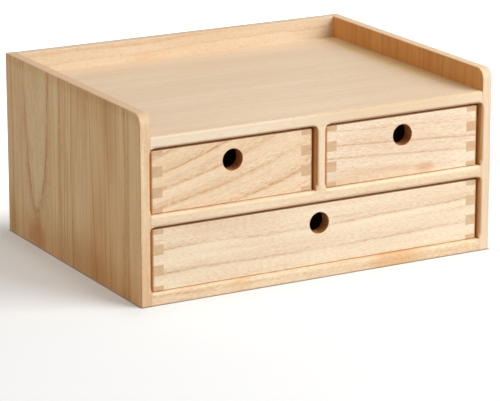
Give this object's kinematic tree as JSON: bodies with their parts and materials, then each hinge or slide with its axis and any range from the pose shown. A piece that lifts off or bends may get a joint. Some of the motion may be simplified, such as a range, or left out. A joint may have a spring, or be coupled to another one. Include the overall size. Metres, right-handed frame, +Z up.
{
  "type": "desktop mini drawers",
  "caption": "Low wooden desktop cabinet with two small drawers side by side over one wide drawer, finger holes, box-jointed fronts and a walled tray on top.",
  "frame": {"origin": "middle of the base, on the surface that the cabinet stands on", "axes": "+X to the right seen from the front (width), -Y out of the front, the way the drawers open, +Z up"},
  "size_m": [0.35, 0.266, 0.167],
  "materials": {
    "cabinet_wood": "matte oiled pale hardwood, vertical grain on the sides, grain along the width elsewhere",
    "drawer_wood": "matte oiled pale hardwood, darker end grain in the box joints",
    "panel_wood": "thin veneered plywood, sanded",
    "dowel_wood": "plain beech dowel",
    "pin_steel": "bright steel pin"
  },
  "bodies": {
    "cabinet": {"left_side_panel": "cabinet_wood", "right_side_panel": "cabinet_wood", "top_board": "cabinet_wood", "middle_shelf": "cabinet_wood", "vertical_divider": "cabinet_wood", "bottom_board": "cabinet_wood", "back_rail": "cabinet_wood", "back_panel": "panel_wood", "top_board_dowels": "dowel_wood", "middle_shelf_dowels": "dowel_wood", "bottom_board_dowels": "dowel_wood", "back_rail_dowels": "dowel_wood", "divider_dowels": "dowel_wood", "back_panel_pins": "pin_steel"},
    "upper_left_drawer": {"upper_left_drawer_front": "drawer_wood", "upper_left_drawer_back": "drawer_wood", "upper_left_drawer_left_side": "drawer_wood", "upper_left_drawer_right_side": "drawer_wood", "upper_left_drawer_bottom": "panel_wood"},
    "upper_right_drawer": {"upper_right_drawer_front": "drawer_wood", "upper_right_drawer_back": "drawer_wood", "upper_right_drawer_left_side": "drawer_wood", "upper_right_drawer_right_side": "drawer_wood", "upper_right_drawer_bottom": "panel_wood"},
    "lower_drawer": {"lower_drawer_front": "drawer_wood", "lower_drawer_back": "drawer_wood", "lower_drawer_left_side": "drawer_wood", "lower_drawer_right_side": "drawer_wood", "lower_drawer_bottom": "panel_wood"}
  },
  "joints": [
    {"name": "upper_left_drawer_slide", "type": "slide", "parent": "cabinet", "child": "upper_left_drawer", "axis": [0, -1, 0], "range_m": [0, 0.2]},
    {"name": "upper_right_drawer_slide", "type": "slide", "parent": "cabinet", "child": "upper_right_drawer", "axis": [0, -1, 0], "range_m": [0, 0.2]},
    {"name": "lower_drawer_slide", "type": "slide", "parent": "cabinet", "child": "lower_drawer", "axis": [0, -1, 0], "range_m": [0, 0.2]}
  ]
}
